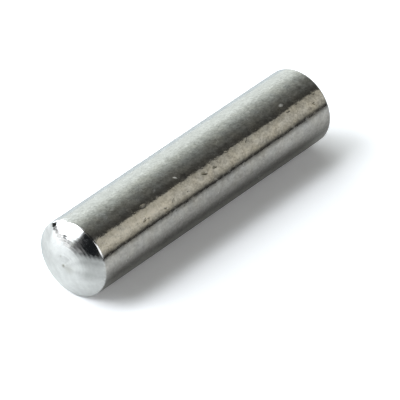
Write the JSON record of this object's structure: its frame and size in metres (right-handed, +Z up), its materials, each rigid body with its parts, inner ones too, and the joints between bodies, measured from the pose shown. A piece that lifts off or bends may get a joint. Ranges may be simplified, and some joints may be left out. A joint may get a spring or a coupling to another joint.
{
  "type": "dowel pin",
  "caption": "Parallel steel dowel pin with a smooth straight shank, small rounded edges and a shallow dome on each end.",
  "frame": {"origin": "middle of the pin, on its axis", "axes": "+X along the pin's axis, away from the dome with the centre mark; +Z up as the pin lies"},
  "size_m": [0.028, 0.006, 0.006],
  "materials": {
    "steel": "bright ground and tumbled steel, close to a mirror on the domes and finely mottled on the shank"
  },
  "bodies": {
    "root": {"pin": "steel"}
  },
  "joints": []
}
